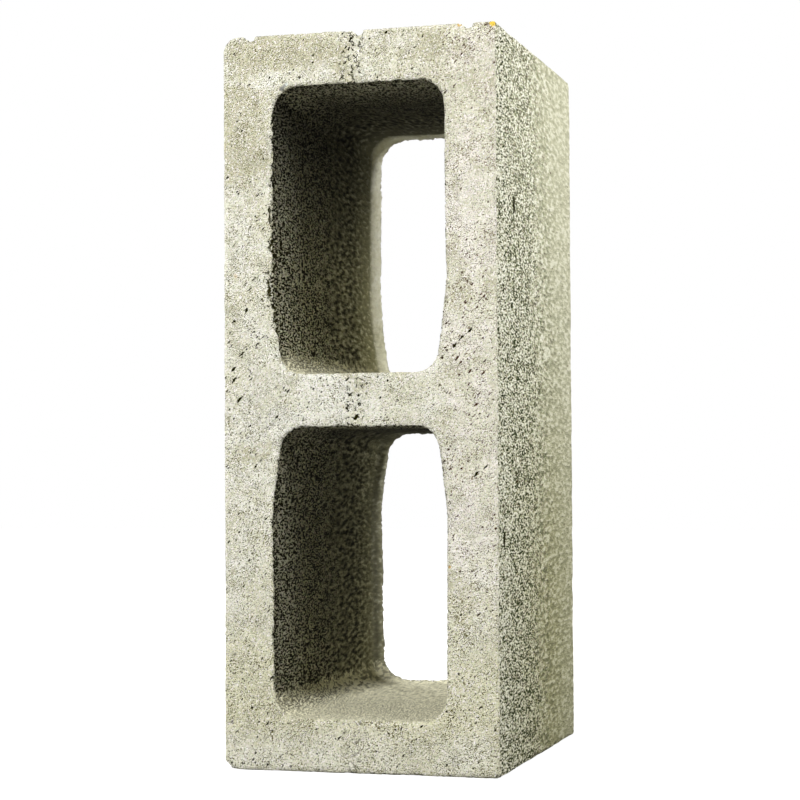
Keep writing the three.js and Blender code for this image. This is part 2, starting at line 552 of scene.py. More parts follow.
# %% [markdown]
# A chip is a corner that broke off: whatever sticks out past a rough plane is moved back onto it. That
# is simpler than cutting with a boolean, and it keeps the mesh closed. Each chip is given by a point
# on the broken face, the way that face looks, and how far it reaches, so that a chip in the middle of
# an arris doesn't run on along it.

# %% Break off the corners
CHIP_LUMPS, CHIP_ROUGHNESS = 4.0, 0.7
CHIP_FADE = 0.7  # a chip is whole up to this share of its reach
CHIPS = [
    ((-72.1, -95.0, 387.1), (-1.0, -0.3, 1.0), 25.0),  # upper left corner of the front, well rounded
    ((-74.2, -95.0, 383.8), (-0.92, -0.16, 0.38), 25.0),
    ((-68.8, -95.0, 389.2), (-0.38, -0.16, 0.92), 25.0),
    ((-73.0, -95.0, 3.5), (-0.78, -0.25, -0.62), 15.0),  # lower left corner of the front
    ((-68.5, -95.0, 0.5), (-0.2, -0.15, -0.98), 12.0),
    ((71.5, -94.6, 0.6), (0.3, -0.7, -0.8), 4.5),  # lower right corner of the front
    ((73.4, 94.0, 388.4), (0.9, 0.7, 0.9), 15.0),  # upper right corner of the back
    ((73.8, 94.2, 1.0), (0.9, 0.7, -0.9), 15.0),  # lower right corner of the back
    ((-5.5, -94.6, 388.7), (0.0, -0.5, 1.0), 4.5),  # crumbled end of the seam at the top
    ((2.6, -94.8, 387.0), (0.0, -0.3, 1.0), 2.8),  # the front end of each groove
    ((-58.6, -94.8, 387.0), (0.0, -0.3, 1.0), 2.4),
    ((61.4, -94.8, 387.0), (0.0, -0.3, 1.0), 2.6),
]

rough = swing(g, place, CHIP_LUMPS, 21, CHIP_ROUGHNESS, detail=2.0)
for at, facing, reach in CHIPS:
    out = Vector(facing).normalized()
    past = g.minus(g.vector("DOT_PRODUCT", pushed, tuple(out)), Vector(at).dot(out))
    from_chip = g.vector("LENGTH", g.vector("SUBTRACT", place, at))
    here = g.rise(from_chip, reach, CHIP_FADE * reach)
    cut = g.times(g.math("MAXIMUM", g.plus(past, rough), 0.0), here)
    pushed = g.vector("SUBTRACT", pushed, g.scaled(tuple(out), cut))
print("chips:", len(CHIPS))

# %% [markdown]
# The material will need to know where the arrises and the large pits are. The relief knows, so it
# stores both at every point under a name, and the material reads them back by that name.

# %% Finish the relief and apply it
def store(g, geometry, name, value):
    """Stores a value at each point of the mesh."""
    sockets = {"Geometry": geometry, "Name": name, "Value": value}
    node = g.add("GeometryNodeStoreNamedAttribute", sockets, data_type="FLOAT", domain="POINT")
    return node.outputs[0]


moved = g.add("GeometryNodeSetPosition", {"Geometry": mesh_in, "Position": g.scaled(pushed, MM)})
kept = store(g, moved.outputs[0], "hollow", g.plus(large_pits, arris_depth))
kept = store(g, kept, "arris", on_arris)
g.add("NodeGroupOutput", {0: kept})

wear = block.modifiers.new("relief", "NODES")
wear.node_group = relief
keep_result(block)
print("size after the relief, mm:", [round(side / MM, 2) for side in block.dimensions])

# %% [markdown]
# ## Fewer faces
#
# The relief needed far more faces than it now takes to show it. Decimate's collapse mode removes the
# ones that change the shape least, so flat stretches end up with large triangles, and arrises, pits and
# chips keep their small ones.

# %% Thin out the mesh
MOST_TRIANGLES = 190_000

block.data.calc_loop_triangles()
thin = block.modifiers.new("fewer_faces", "DECIMATE")
thin.ratio = MOST_TRIANGLES / len(block.data.loop_triangles)
thin.use_collapse_triangulate = True
keep_result(block)
block.data.shade_smooth()
print("triangles:", len(block.data.polygons))

# %% [markdown]
# The waves at the back and the collapsed faces leave some corners outside the box of the mould, and
# the block must stay within it. So every corner is brought back to just inside that box. Most of the
# corners that this moves lay on a flat face, and go back by no more than the small margin.

# %% Keep it inside its mould
KEPT_INSIDE = 0.02

least = (block_low + Vector((KEPT_INSIDE,) * 3)) * MM
most = (block_high - Vector((KEPT_INSIDE,) * 3)) * MM
moved_back = 0
furthest = 0.0
for vertex in block.data.vertices:
    within = Vector(min(max(at, low), high) for at, low, high in zip(vertex.co, least, most))
    moved_back += within != vertex.co
    furthest = max(furthest, (within - vertex.co).length)
    vertex.co = within
print("corners moved back:", moved_back, "by up to", round(furthest / MM, 2), "mm")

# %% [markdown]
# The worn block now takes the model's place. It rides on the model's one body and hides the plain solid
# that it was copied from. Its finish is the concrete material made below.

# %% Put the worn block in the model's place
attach(block, "root")
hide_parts("concrete_block")
print(block.name, "stands for concrete_block")

# %% [markdown]
# ## Concrete
#
# Seen close, concrete is grains of sand in cement paste, with dark gaps between them. Seen from further
# away it is patches: pale where fine cement rose to the face, olive-beige where sand lies bare.
# Both scales matter, so the colour is built from the largest patches down to single grains. An image
# texture would need a flat unwrapping of the cores. Noise that is read in millimetres needs none.

# %% Start the material
def stored(g, name):
    """What the relief stored under this name."""
    node = g.add("ShaderNodeAttribute", {}, attribute_name=name, attribute_type="GEOMETRY")
    return node.outputs["Fac"]


concrete, g = new_material("pressed_concrete")
coordinates = g.add("ShaderNodeTexCoord", {}).outputs
arris = stored(g, "arris")
hollow = stored(g, "hollow")
place = g.scaled(coordinates["Object"], 1 / MM)
x, y, z = g.axes(place)
across = g.math("ABSOLUTE", x)
along = g.away(z, half_length)
in_upper = g.math("GREATER_THAN", z, half_length)
g.tell("concrete, started")

# %% [markdown]
# The press shoe and the pallet close the front and the back, and the lip next to the pallet. The other
# faces slide along steel, which tears them open along that way. Inside the cores it is worst: more gap
# than grain. Their paste and gaps are also darker than the sides', partly as painted shade, so those
# walls look far darker than the front.
#
# So the colour first needs to know how open the skin is at each point, from 0 to 1. That could be
# painted on the mesh by hand. Worked out from distances to the block's faces, it stays right whenever
# the mesh changes.

# %% Where the skin is closed
FRONT_SKIN = (1.3, 0.8)  # depths at which the front's closed skin starts and is whole
BACK_SKIN = (1.0, 0.5)
RIM_MARGIN = (13.0, 19.0)  # the rims of the cores lie further in than this from the outer faces
RAGGED_EDGE = 4.0  # how far a core's skin and its painted shade reach round its rim where crumbs are lost
CRUMB_GRAIN, CRUMB_SWING = 0.9, 1.5
CRUMBLES_AT = (1.15, 1.3)  # above these levels, sharp and hollow places at a rim lose their skin

by_core = g.times(
    g.rise(across, *(block_high.x - margin for margin in RIM_MARGIN)),
    g.rise(along, *(half_length - margin for margin in RIM_MARGIN)),
)
core_rim = g.times(by_core, g.plus(arris, hollow))
rim_grain = swing(g, place, CRUMB_GRAIN, 36, CRUMB_SWING, detail=1.0)
crumbled = g.rise(g.plus(core_rim, rim_grain), *CRUMBLES_AT, 0.0, RAGGED_EDGE)
front = g.rise(g.plus(y, crumbled), *(block_low.y + depth for depth in FRONT_SKIN))
back = g.rise(y, *(block_high.y - depth for depth in BACK_SKIN))
closed = g.math("MAXIMUM", front, back)
g.tell("concrete, with its closed skin")

# %% How open the skin is
OUTER_MARGIN = (6.0, 3.0)  # what lies closer than this to a side or an end is outside the cores
LIP_SKIN = (80.0, 90.0)  # where the closed skin of a lip starts and is whole, along the core
OPEN_LIP, CLOSED_LIP = 110.0, 300.0  # the lips stay open below one height and close above the other: partly painted light
NEXT_TO_FRONT = (-94.0, -90.0)
SIDE_LEAST_OPEN = 0.8  # the sides are a little less open next to the front

near_side = g.rise(across, *(block_high.x - margin for margin in OUTER_MARGIN))
near_end = g.rise(along, *(half_length - margin for margin in OUTER_MARGIN))
inside = g.times(g.rest(g.math("MAXIMUM", near_side, near_end)), g.rest(closed))
lip_skin_and_light = g.rise(z, OPEN_LIP, CLOSED_LIP, 1.0, 0.0)
inner_skin = g.between(g.rise(y, *LIP_SKIN), 1.0, lip_skin_and_light)
outer_skin = g.rise(y, *NEXT_TO_FRONT, SIDE_LEAST_OPEN, 1.0)
openness = g.between(closed, g.between(inside, outer_skin, inner_skin), 0.0)
g.tell("concrete, with its open skin")

# %% [markdown]
# The block is moulded with its front up and its back on the pallet, where the mix packs densest. So the
# torn walls are coarse and open next to the front, and finer and calmer towards the back. The change
# from one to the other is made ragged with the same patches that also vary the colour.

# %% How well the mix is pressed
WIDE_PATCH, CLOSE_PATCH = 40.0, 12.0
RAGGED_DEPTH = 90.0
LOOSE_UP_TO, DENSE_FROM = -60.0, 85.0

patches = g.plus(
    g.times(cloud(g, place, WIDE_PATCH, 31, detail=2.0), 0.5),
    g.times(cloud(g, place, CLOSE_PATCH, 32, detail=3.0), 0.5),
)
ragged_depth = g.plus(y, g.times(g.minus(patches, 0.5), RAGGED_DEPTH))
pressed = g.times(g.rise(ragged_depth, LOOSE_UP_TO, DENSE_FROM), g.rest(closed))
g.tell("concrete, pressed")

# %% [markdown]
# Next come the patches of colour. Most of them fall where noise puts them, which is quick and looks
# natural. The few that stand out on this block, such as the sandy patch in its upper left corner and
# the pale strip under that, are ovals with ragged edges, each set down one by one.

# %% Patches on the front
PATCHES = [  # middle x and z, half width and half height, and how dull (or pale, below zero)
    (-42, 381, 34, 10, 0.9),
    (-42, 366, 28, 4, -1.0),
    (-62, 340, 14, 40, 0.65),
    (-68, 262, 8, 30, 0.3),
    (-62, 190, 13, 35, 0.25),
    (38, 14, 34, 12, -0.6),
    (0, 15, 26, 12, -0.5),
    (65, 180, 6, 80, -0.5),
]
PATCH_DEPTH = 6.0
PATCH_EDGE = (1.25, 0.6)  # a patch fades in between these, where 1 is the edge of its oval
PALE_AT = (0.40, 0.62)
WARM_RIGHT_OF = (38.0, 54.0)  # the right margin of the front is warmer in tone,
WARM_ABOVE = (60.0, 140.0)  # except near the foot
DULLER_ABOVE, DULL_HIGH = (290.0, 360.0), 0.35  # towards the top the front gets duller
DULL_SIZE, DULL_AT, DULL_MOST = 22.0, (0.48, 0.68), 0.6
SPECK_SIZE, SPECK_AT, SPECK_MOST = 2.6, (0.35, 0.65), 0.3

pale = g.rise(patches, *PALE_AT)
warm = g.times(g.rise(x, *WARM_RIGHT_OF), g.rise(z, *WARM_ABOVE))
dull_high = g.times(g.rise(z, *DULLER_ABOVE, 0.0, DULL_HIGH), closed)
dull_spots = g.rise(cloud(g, place, DULL_SIZE, 33, detail=3.0), *DULL_AT, 0.0, DULL_MOST)
specks = g.rise(cloud(g, place, SPECK_SIZE, 35, detail=1.0), *SPECK_AT, -SPECK_MOST, SPECK_MOST)
dull = g.plus(dull_high, dull_spots, specks)
ragged = shaken(g, place, 2.0, 9.0, 34)
for middle_x, middle_z, half_width, half_height, dullness in PATCHES:
    half_sizes = (half_width, PATCH_DEPTH, half_height)
    out = oval(g, ragged, (middle_x, block_low.y, middle_z), half_sizes)
    dull = g.plus(dull, g.rise(out, *PATCH_EDGE, 0.0, dullness))
dull = g.math("MINIMUM", g.math("MAXIMUM", dull, 0.0), 1.0)
print("patches set down by hand:", len(PATCHES))

# %% Paste of the front
PALE_PASTE = (0.91, 0.90, 0.79, 1)
SANDY_PASTE = (0.80, 0.78, 0.61, 1)
WARM_PASTE = (0.95, 0.895, 0.80, 1)
DULL_PASTE = (0.585, 0.555, 0.38, 1)
LOW_PASTE = (0.75, 0.72, 0.485, 1)
LOW_TONE_FROM, LOW_TONE_TO = 125.0, 30.0  # the paste gets darker and yellower from one height down to the other
PALER_AGAIN_TO = 8.0  # and paler again below that, down to here
LOW_TONE_MOST, LOW_TONE_LEAST = 0.9, 0.35

paste = g.blend(pale, SANDY_PASTE, g.blend(warm, PALE_PASTE, WARM_PASTE))
paste = g.blend(dull, paste, DULL_PASTE)
low_tone = g.rise(z, LOW_TONE_FROM, LOW_TONE_TO, 0.0, LOW_TONE_MOST)
low_tone = g.times(low_tone, g.rise(z, LOW_TONE_TO, PALER_AGAIN_TO, 1.0, LOW_TONE_LEAST))
paste = g.blend(low_tone, paste, LOW_PASTE)
g.tell("concrete, with the paste of its front")

# %% Paste of the torn sides and cores
BARE_SAND = (0.51, 0.505, 0.325, 1)
PRESSED_SAND = (0.58, 0.57, 0.405, 1)
LOW_SIDE_SAND = (0.365, 0.35, 0.185, 1)
# the cores' paste is darker than the sides' partly for their open skin, and partly as painted shade
CORE_PASTE_AND_SHADE = (0.43, 0.416, 0.28, 1)
LOW_SIDE_FROM, LOW_SIDE_TO = 300.0, 90.0  # and so do the sides, over more of their height
RAGGED_LOW_TONE = 60.0

side_paste = g.blend(pressed, BARE_SAND, PRESSED_SAND)
low_side_tone = g.rise(g.plus(z, g.times(patches, RAGGED_LOW_TONE)), LOW_SIDE_FROM, LOW_SIDE_TO)
low_side_tone = g.times(low_side_tone, g.rise(y, -100.0, 0.0, 0.15, 1.0), g.rise(y, 20.0, 90.0, 1.0, 0.6))
side_paste = g.blend(low_side_tone, side_paste, LOW_SIDE_SAND)
paste = g.blend(openness, paste, g.blend(inside, side_paste, CORE_PASTE_AND_SHADE))
g.tell("concrete, with its paste")

# %% [markdown]
# The grains of sand are the cells of a Voronoi texture, and each cell's random colour decides what its
# grain is: a few are white, some are dull, and the rest are hardly different from the paste. On the
# torn sides the grains are drawn out along the steel. On the front they are drawn out less, and up to
# the right, as the tears there are.

# %% Sand grains
GRAIN = 0.5
FRONT_GRAIN = 0.9  # the front's grains are this much smaller than the torn sides'
TORN_STRETCH = (2.0, 5.5, 2.2)  # longest along the steel
SLANT_STRETCH = 1.6
SHARP_TO_SOFT, SOFT_GRAIN = (0.2, 0.9), 0.15  # where the mix is pressed well, grains hardly show
WHITE_GRAIN = (0.97, 0.96, 0.92, 1)
WHITE_LUCK, WHITE_ON_FRONT, WHITE_WHERE_TORN = (0.66, 0.96), 0.9, 0.2
DULL_LUCK, DULL_GRAIN = (0.60, 1.0), 0.55
GRAIN_TINT = 0.06  # how much of its own random colour each grain shows

along_steel = g.vector("DIVIDE", place, TORN_STRETCH)
face_on = g.math("GREATER_THAN", closed, 0.5)
on_front = slanted(g, g.scaled(place, 1 / FRONT_GRAIN), SLANT_STRETCH)
drawn = g.vector_between(face_on, along_steel, on_front)
_, grain_colour = cells(g, drawn, GRAIN, 44)
luck = g.axes(grain_colour)
sharp = g.rise(pressed, *SHARP_TO_SOFT, 1.0, SOFT_GRAIN)
whiteness = g.rise(openness, 0.0, 1.0, WHITE_ON_FRONT, WHITE_WHERE_TORN)
whites = g.times(g.rise(luck[0], *WHITE_LUCK), g.times(whiteness, sharp))
grains = g.blend(whites, paste, WHITE_GRAIN)
grains = g.blend(g.times(g.rise(luck[1], *DULL_LUCK, 0.0, DULL_GRAIN), sharp), grains, DULL_PASTE)
grains = g.blend(g.times(sharp, GRAIN_TINT), grains, grain_colour)
g.tell("concrete, with grains")

# %% [markdown]
# The gaps between the grains do most for the look: they are what makes concrete look open or closed.
# They are simply where a fine noise falls below an edge. Raising that edge makes more and wider gaps,
# so it goes up where the skin is more open, and a soft edge turns sharp gaps into smeared ones.

# %% The noise that the gaps are cut from
FINE, COARSE = 0.42, 1.25  # the gaps of the loose mix, and the smeared ones of the dense mix
SIDE_SQUEEZE, CORE_SQUEEZE = (1.5, 1.05, 1.5), (1.1, 1, 1.2)  # the coarse noise is drawn out less

fine = cloud(g, drawn, FINE, 41)
coarse_place = g.vector("MULTIPLY", drawn, g.vector_between(inside, SIDE_SQUEEZE, CORE_SQUEEZE))
coarse = cloud(g, coarse_place, COARSE, 42, detail=1.0)
mixed = g.between(g.rise(pressed, 0.0, 0.8, 0.15, 1.0), fine, coarse)
g.tell("concrete, with noise for its gaps")

# %% Where the gaps are
GAPS_UP_TO = 0.355  # where the front has gaps: wherever the noise is below this
CLUMP = 8.0  # gaps come in clumps of about this size, and this strongly on each kind of face:
FRONT_CLUMPING, SIDE_CLUMPING, CORE_CLUMPING = 0.25, 0.2, 0.1
SIDE_GAPS = (0.04, 0.07)  # how far the edge goes up on the sides, from the loose mix to the dense
BAND_GAPS = 0.035  # and further still in the upright band where they are torn most
BAND_STARTS, BAND_ENDS = (-80.0, -55.0), (-45.0, 60.0)
CORE_MOUTH, CORE_GAPS = (-93.0, -84.0), (0.19, 0.13)  # it goes up furthest at the mouths of the cores
LOW_DOWN, LOW_GAPS = (90.0, 30.0), 0.012
TORN_SPOT = (75.0, -54.5, 299.0)  # where the steel dragged hardest on the right side
TORN_SPOT_SIZE, TORN_SPOT_GAPS = (6.0, 3.5, 6.5), 0.14

clumping = g.between(openness, FRONT_CLUMPING, g.between(inside, SIDE_CLUMPING, CORE_CLUMPING))
density = g.times(g.minus(cloud(g, place, CLUMP, 45, detail=1.0), 0.5), clumping)
torn_band = g.times(g.rise(y, *BAND_STARTS, 0.0, BAND_GAPS), g.rise(y, *BAND_ENDS, 1.0, 0.0))
torn_side = g.plus(torn_band, g.rise(pressed, 0.0, 1.0, *SIDE_GAPS))
torn_more = g.between(inside, torn_side, g.rise(y, *CORE_MOUTH, *CORE_GAPS))
low_down = g.rise(z, *LOW_DOWN, 0.0, LOW_GAPS)
torn_spot = g.rise(oval(g, place, TORN_SPOT, TORN_SPOT_SIZE), 1.0, 0.5, 0.0, TORN_SPOT_GAPS)
gap_edge = g.plus(GAPS_UP_TO, density, low_down, torn_spot, g.times(openness, torn_more))
above_edge = g.minus(mixed, gap_edge)
g.tell("concrete, with its gaps placed")

# %% How soft the gaps are
FRONT_SOFTNESS = 0.03
SIDE_SOFTNESS, CORE_SOFTNESS = (0.03, 0.15), (0.04, 0.17)  # added to it, where loose and where dense

side_softness = g.rise(pressed, 0.0, 1.0, *SIDE_SOFTNESS)
core_softness = g.rise(pressed, 0.0, 0.7, *CORE_SOFTNESS)
smeared = g.between(inside, side_softness, core_softness)
softness = g.plus(FRONT_SOFTNESS, g.times(openness, smeared))
gap = g.rise(above_edge, softness, g.times(softness, -1.0))
g.tell("concrete, with soft gaps")

# %% How strong the gaps are
SIDE_STRENGTH, CORE_STRENGTH = (1.0, 0.36), (1.0, 0.95)  # where loose and where dense
HIGH_UP, BEHIND_THE_EDGE, LOST_HIGH_UP = (230.0, 340.0), (-80.0, -50.0), 0.3  # the sides lose this much
CALMER_WHERE_DULL, CALMEST = (0.3, 1.0), 0.3
CALM_STRENGTH = (0.9, 1.0)
LESS_ABOVE, HIGH_STRENGTH = (60.0, 180.0), 0.88  # the front's gaps, from these heights up
LOWER_LIP_FROM, UPPER_LIP_FROM, LIP_AT = 50.0, 35.0, 86.0  # towards the lip the cores get smoother,
LOWER_LIP_GAPS, UPPER_LIP_GAPS = 0.4, 0.12  # down to this share of their gaps

high_up = g.times(g.rise(z, *HIGH_UP, 0.0, LOST_HIGH_UP), g.rise(y, *BEHIND_THE_EDGE))
side_strength = g.times(g.rise(pressed, 0.0, 1.0, *SIDE_STRENGTH), g.rest(high_up))
torn_strength = g.between(inside, side_strength, g.rise(pressed, 0.0, 1.0, *CORE_STRENGTH))
calm = g.rise(dull, *CALMER_WHERE_DULL, 1.0, CALMEST)  # the front has few gaps where sand lies bare
# smoother, paler lips towards the back are partly painted light on them
lower_lip = g.rise(y, LOWER_LIP_FROM, LIP_AT, 1.0, LOWER_LIP_GAPS)
upper_lip = g.rise(y, UPPER_LIP_FROM, LIP_AT, 1.0, UPPER_LIP_GAPS)
smooth_and_lit_lip = g.between(inside, 1.0, g.between(in_upper, lower_lip, upper_lip))
front_strength = g.rise(calm, CALMEST, 1.0, *CALM_STRENGTH)
front_strength = g.times(front_strength, g.rise(z, *LESS_ABOVE, 1.0, HIGH_STRENGTH))
gap = g.times(gap, smooth_and_lit_lip, g.between(openness, front_strength, torn_strength))
g.tell("concrete, with its gaps")

# %% Colour the gaps, partly with painted shade, and paint light on the grains that stand out of them
# the dark gap colours are partly the open mix's own colour and partly painted shade between grains
GAP_SHADE = (0.118, 0.103, 0.016, 1)
WARM_GAP = (0.15, 0.096, 0.034, 1)
TORN_GAP = (0.030, 0.042, 0.013, 1)
# the cores' gaps are the darkest, partly as painted shade
CORE_GAP = (0.010, 0.009, 0.002, 1)
CREAM_GRAIN = (0.96, 0.95, 0.81, 1)
STRAW_GRAIN = (0.83, 0.81, 0.59, 1)
LIT_ABOVE = (0.07, 0.25)  # painted light on grains from this far above the edge of the gaps
SIDE_LIT, CORE_LIT = (1.0, 0.35), (0.4, 0.6)  # this brightly, where loose and where dense

gap_shade = g.blend(openness, g.blend(warm, GAP_SHADE, WARM_GAP), g.blend(inside, TORN_GAP, CORE_GAP))
side_lit = g.rise(pressed, 0.0, 1.0, *SIDE_LIT)
core_lit = g.rise(pressed, 0.0, 1.0, *CORE_LIT)
painted_grain_light = g.times(g.rise(above_edge, *LIT_ABOVE), openness, g.between(inside, side_lit, core_lit))
side_grain = g.blend(low_side_tone, CREAM_GRAIN, STRAW_GRAIN)
sanded = g.blend(gap, g.blend(painted_grain_light, grains, side_grain), gap_shade)
g.tell("concrete, with its gaps coloured")

# %% [markdown]
# Pits are small hollows where a grain fell out or air was caught. Tears are pits drawn out on a slant,
# where something dragged on the damp skin, and cracks run round crumbs that are about to come loose.
# Most of them are too fine for the mesh, so the shade in them is painted into the colour as dark spots.
# They keep to the rougher stretches, and the front tears most in two zones, halfway up its left and its
# right margin.

# %% Pits
SMALL_PIT_SPACING, LARGEST_SMALL_PIT = 1.4, 0.62
RAGGED = 0.2
ROUGH_SIZE, ROUGH_AT, ROUGH_SHARE = 9.0, (0.42, 0.62), (0.18, 0.9)
DENSE_SHARE = 0.1  # the dense mix near the back keeps this share of its pits,
NO_PITS_BEHIND = (70.0, 80.0)  # and the cores have none at all next to the lip
HOLLOW_AT, PAINTED_HOLLOW_SHADE = (0.35, 1.0), 0.85  # how deep the large pits of the relief are, and how dark their painted shade is,
HOLLOWS_FADE = (40.0, 75.0)  # as far back as here

_, crevice = seam(g, place, front)
rough_spots = g.rise(cloud(g, place, ROUGH_SIZE, 52, detail=1.0), *ROUGH_AT, *ROUGH_SHARE)
less_drawn = g.vector("DIVIDE", place, ALONG_STEEL)
pit_place = g.vector_between(face_on, less_drawn, slanted(g, place, SLANT_STRETCH))
loose_mix = g.rise(pressed, 0.0, 0.6, 1.0, DENSE_SHARE)
pit_share = g.times(rough_spots, loose_mix, g.between(openness, calm, 1.0))
pit_share = g.times(pit_share, g.between(inside, 1.0, g.rise(y, *NO_PITS_BEHIND, 1.0, 0.0)))
small_pits = pits(g, pit_place, SMALL_PIT_SPACING, LARGEST_SMALL_PIT, 51, pit_share, RAGGED)
deep = g.times(g.rise(hollow, *HOLLOW_AT, 0.0, PAINTED_HOLLOW_SHADE), g.rise(y, *HOLLOWS_FADE, 1.0, 0.0))
g.tell("concrete, with pits")

# %% Tears and cracks
TEAR_SPACING, LARGEST_TEAR, TEAR_STRETCH = 1.9, 0.68, 2.5
TORN_HEIGHT = 205.0  # the middle of both torn zones
LEFT_ZONE, LEFT_ZONE_HEIGHT = (-50.0, -58.0), (50.0, 30.0)  # where each fades in: x, and up or down
RIGHT_ZONE, RIGHT_ZONE_HEIGHT = (48.0, 54.0), (65.0, 50.0)
ROUGH_TEARS, ZONE_TEARS = 0.7, 0.6  # shares of the tears that are there
CRACK_SPACING, CRACK_WIDTH, CRACK_STRETCH = 3.2, 0.05, 1.8
CRACKED_SIZE, CRACKED_AT, CRACKED_SHARE = 12.0, (0.45, 0.70), (0.12, 0.33)
ZONE_CRACKS, CALM_CRACKS = 0.05, 0.6

from_torn_height = g.away(z, TORN_HEIGHT)
torn_left = g.times(g.rise(x, *LEFT_ZONE), g.rise(from_torn_height, *LEFT_ZONE_HEIGHT))
torn_right = g.times(g.rise(x, *RIGHT_ZONE), g.rise(from_torn_height, *RIGHT_ZONE_HEIGHT))
torn_zone = g.times(g.math("MAXIMUM", torn_left, torn_right), front)
tear_share = g.plus(g.times(rough_spots, ROUGH_TEARS), g.times(torn_zone, ZONE_TEARS))
tear_share = g.times(front, tear_share, calm)
tear_place = slanted(g, place, TEAR_STRETCH)
tears = pits(g, tear_place, TEAR_SPACING, LARGEST_TEAR, 53, tear_share, RAGGED)
crack_share = g.rise(cloud(g, place, CRACKED_SIZE, 55, detail=1.0), *CRACKED_AT, *CRACKED_SHARE)
crack_share = g.plus(crack_share, g.times(torn_zone, ZONE_CRACKS))
crack_share = g.times(crack_share, g.rise(calm, CALMEST, 1.0, CALM_CRACKS, 1.0))
crack_place = slanted(g, place, CRACK_STRETCH)
split = g.times(cracks(g, crack_place, CRACK_SPACING, CRACK_WIDTH, 54, crack_share), front)
g.tell("concrete, with tears and cracks")

# %% Paint shade into the pits, tears and cracks
PAINTED_PIT_SHADE = (0.016, 0.015, 0.001, 1)
WARM_PAINTED_PIT_SHADE = (0.050, 0.014, 0.003, 1)

# pits, tears, cracks, the seam's crevices and the relief's large pits all get painted shade
painted_hole_shade = g.math("MAXIMUM", small_pits, tears)
for kind in (split, crevice, deep):
    painted_hole_shade = g.math("MAXIMUM", painted_hole_shade, kind)
colour = g.blend(painted_hole_shade, sanded, g.blend(warm, PAINTED_PIT_SHADE, WARM_PAINTED_PIT_SHADE))
g.tell("concrete, with its holes darkened")

# %% [markdown]
# The largest tears are the ones that the eye picks out, so they can't be left to chance. Each is a
# slanted lens with a ragged edge, set down one by one, and each gash in the side is a ragged upright
# oval.
# Pits and tears stay out of the bump, because every node under a bump is worked out three times.

# %% The largest tears
LARGE_TEARS = [  # x and z of the middle on the front, half length and half width
    (-65.0, 220.0, 2.5, 0.77),
    (-69.5, 212.0, 2.2, 0.77),
    (-69.0, 206.5, 2.2, 0.85),
    (-66.0, 196.0, 2.8, 1.02),
    (-62.0, 243.0, 1.6, 0.68),
    (-56.0, 225.0, 1.6, 0.68),
    (52.5, 222.5, 1.8, 0.68),
    (56.0, 226.5, 2.8, 0.59),
    (60.5, 230.0, 2.3, 0.68),
    (63.5, 156.0, 2.5, 0.68),
    (68.5, 159.5, 2.1, 0.68),
    (-6.0, 206.0, 1.8, 0.65),
    (-4.5, 198.0, 2.1, 0.59),
    (-1.0, 186.5, 2.1, 0.85),
]
TEAR_FLATNESS = 0.2  # depth counts this much, because the front under a tear isn't quite flat
TEAR_EDGE = 0.6  # a tear is at its darkest up to this share of its half width

painted_tear_shade = 0.0
ragged_tear = g.vector("MULTIPLY", shaken(g, place, 0.35, 1.1, 56), (1.0, TEAR_FLATNESS, 1.0))
for tear_x, tear_z, half_tear, half_width in LARGE_TEARS:
    off = g.vector("SUBTRACT", ragged_tear, (tear_x, TEAR_FLATNESS * block_low.y, tear_z))
    out = g.vector("LENGTH", slanted(g, off, half_tear / half_width))
    painted_tear_shade = g.math("MAXIMUM", painted_tear_shade, g.rise(out, half_width, TEAR_EDGE * half_width))
print("large tears:", len(LARGE_TEARS))

# %% Gashes in the right side
SIDE_GASHES = [  # y and z of the middle on the right side, half width and half height
    (-54.5, 299.0, 3.2, 6.5),
    (-81.0, 122.0, 2.4, 9.5),
]
GASH_DEPTH = 3.0

ragged_gash = shaken(g, place, 0.8, 2.5, 57)
for gash_y, gash_z, half_width, half_height in SIDE_GASHES:
    half_sizes = (GASH_DEPTH, half_width, half_height)
    out = oval(g, ragged_gash, (block_high.x, gash_y, gash_z), half_sizes)
    painted_tear_shade = g.math("MAXIMUM", painted_tear_shade, g.rise(out, 1.0, TEAR_EDGE))
# the large tears and the gashes are filled with painted shade
colour = g.blend(painted_tear_shade, colour, PAINTED_PIT_SHADE)
print("gashes:", len(SIDE_GASHES))

# %% [markdown]
# A torn wall also shades itself: its gaps swallow light, most of all where light only grazes it, on the
# ceilings and high up the walls. Bump tilts the surface but casts no shadows, so the colour is turned
# down there instead, as painted shade, and deeper in the cores too. Low on the upper core's walls,
# towards the open back and on the lower core's lip, it is turned up, as painted light.

# %% Painted shade towards the ceilings of the cores, and painted light towards their back
CORE_FLOORS = (28.2, 209.2)
CEILING = (143.0, 151.0)  # heights above a core's floor between which its walls bend into its ceiling
CORE_HEIGHT = 150.0
UPPER_CORE_SHADE, UPPER_CORE_FROM = (1.2, 0.36), 55.0  # from this height up to the ceiling
LOWER_CORE_SHADE, LOWER_CORE_FROM = (0.88, 1.0), 15.0
DARKER_AT, DARKER = (-60.0, 20.0), 0.74  # painted shade: on the way back the walls first get darker,
LIGHTER_AT, LIGHTER = (40.0, 75.0), 1.55  # and then painted light, lighter towards the open back
LIP_STEP, LIP_STEP_SHADE = (80.0, 88.0), 0.53  # painted shade on the step up to the lower core's lip,
LIP_FACE, PAINTED_LIP_FACE_LIGHT = (88.0, 94.0), 1.9  # and painted light on the lip itself
CEILING_AT, CEILING_SHADE = (-95.0, -10.0), (0.95, 0.28)

